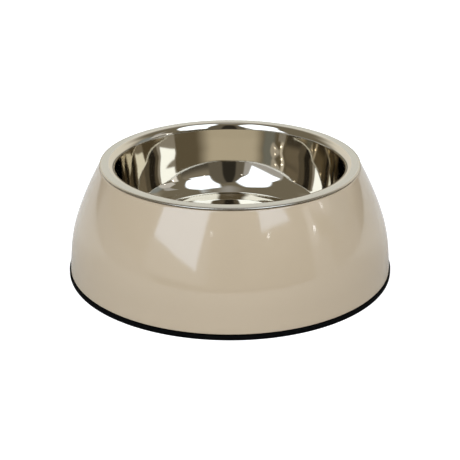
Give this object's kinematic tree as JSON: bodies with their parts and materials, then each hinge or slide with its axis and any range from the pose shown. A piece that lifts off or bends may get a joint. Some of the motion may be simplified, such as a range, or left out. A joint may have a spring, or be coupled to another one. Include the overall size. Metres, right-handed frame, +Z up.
{
  "type": "pet bowl",
  "caption": "Pet food bowl: a pressed steel insert with a level rim drops into a domed moulded stand that rests on a rubber ring.",
  "frame": {"origin": "on the axis of the bowl, on the floor under the rubber ring", "axes": "+Z up along the axis of symmetry; +X and +Y are any two level directions at right angles"},
  "size_m": [0.17, 0.17, 0.059],
  "materials": {
    "polished_steel": "mirror-polished stainless sheet with a satin level rim",
    "beige_melamine": "glossy moulded beige",
    "black_rubber": "matt black"
  },
  "bodies": {
    "stand": {"outer_stand": "beige_melamine", "rubber_ring": "black_rubber"},
    "bowl": {"steel_bowl": "polished_steel"}
  },
  "joints": [
    {"name": "bowl_lift", "type": "slide", "parent": "stand", "child": "bowl", "axis": [0, 0, 1], "range_m": [0, 0.08]}
  ]
}
